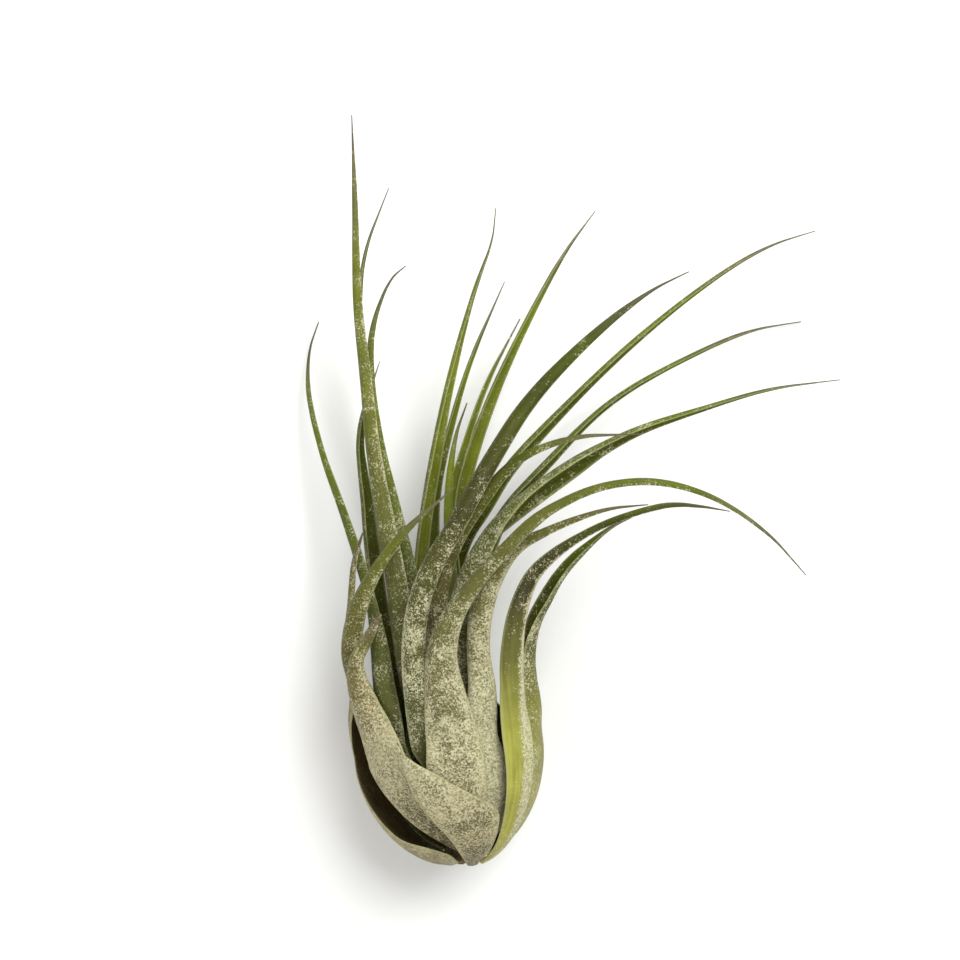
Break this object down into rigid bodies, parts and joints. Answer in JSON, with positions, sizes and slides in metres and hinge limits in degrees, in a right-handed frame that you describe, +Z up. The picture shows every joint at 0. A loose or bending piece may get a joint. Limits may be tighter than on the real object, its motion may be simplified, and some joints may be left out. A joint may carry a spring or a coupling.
{
  "type": "air plant",
  "caption": "Small bare-rooted air plant lying on its back: a tight silvery bulb of sheaths that open into long, narrow, channelled green leaves arching to one side.",
  "frame": {"origin": "on the surface that the plant lies on, under the middle of its overall box", "axes": "+Y from the foot of the bulb towards the leaf tips, +X towards the side that the leaves arch to, +Z up from the surface, out of the side that faces the viewer"},
  "size_m": [0.0908, 0.1276, 0.0375],
  "materials": {
    "leaf_green": "matte, fine silver speckle, greyer towards the foot",
    "leaf_olive": "matte dark olive, fine silver speckle",
    "leaf_grey": "matte grey-green under a dense silver felt",
    "leaf_silver": "matte silver felt over grey-green",
    "leaf_pale": "matte pale yellow-green foot, silver speckle above",
    "stem_wood": "matte dry brown",
    "scales": "matte silver-white leaf scales"
  },
  "bodies": {
    "root": {"stem": "stem_wood", "sheath_front": "leaf_silver", "leaf_left_outermost": "leaf_grey", "leaf_left_short": "leaf_silver", "leaf_left_crossing": "leaf_grey", "leaf_left_thin": "leaf_green", "leaf_left_channelled": "leaf_olive", "leaf_tallest": "leaf_green", "leaf_behind_tallest": "leaf_green", "leaf_beside_tallest": "leaf_green", "leaf_upper_first": "leaf_green", "leaf_upper_second": "leaf_green", "leaf_upper_third": "leaf_green", "leaf_upper_arching": "leaf_green", "leaf_centre_young": "leaf_green", "leaf_front_wide": "leaf_olive", "leaf_front_dark": "leaf_olive", "leaf_right_top": "leaf_green", "leaf_right_upper": "leaf_green", "leaf_right_long": "leaf_green", "leaf_front_arching": "leaf_grey", "leaf_front_silver": "leaf_silver", "leaf_right_pale": "leaf_pale", "leaf_right_outermost": "leaf_pale"}
  },
  "joints": []
}
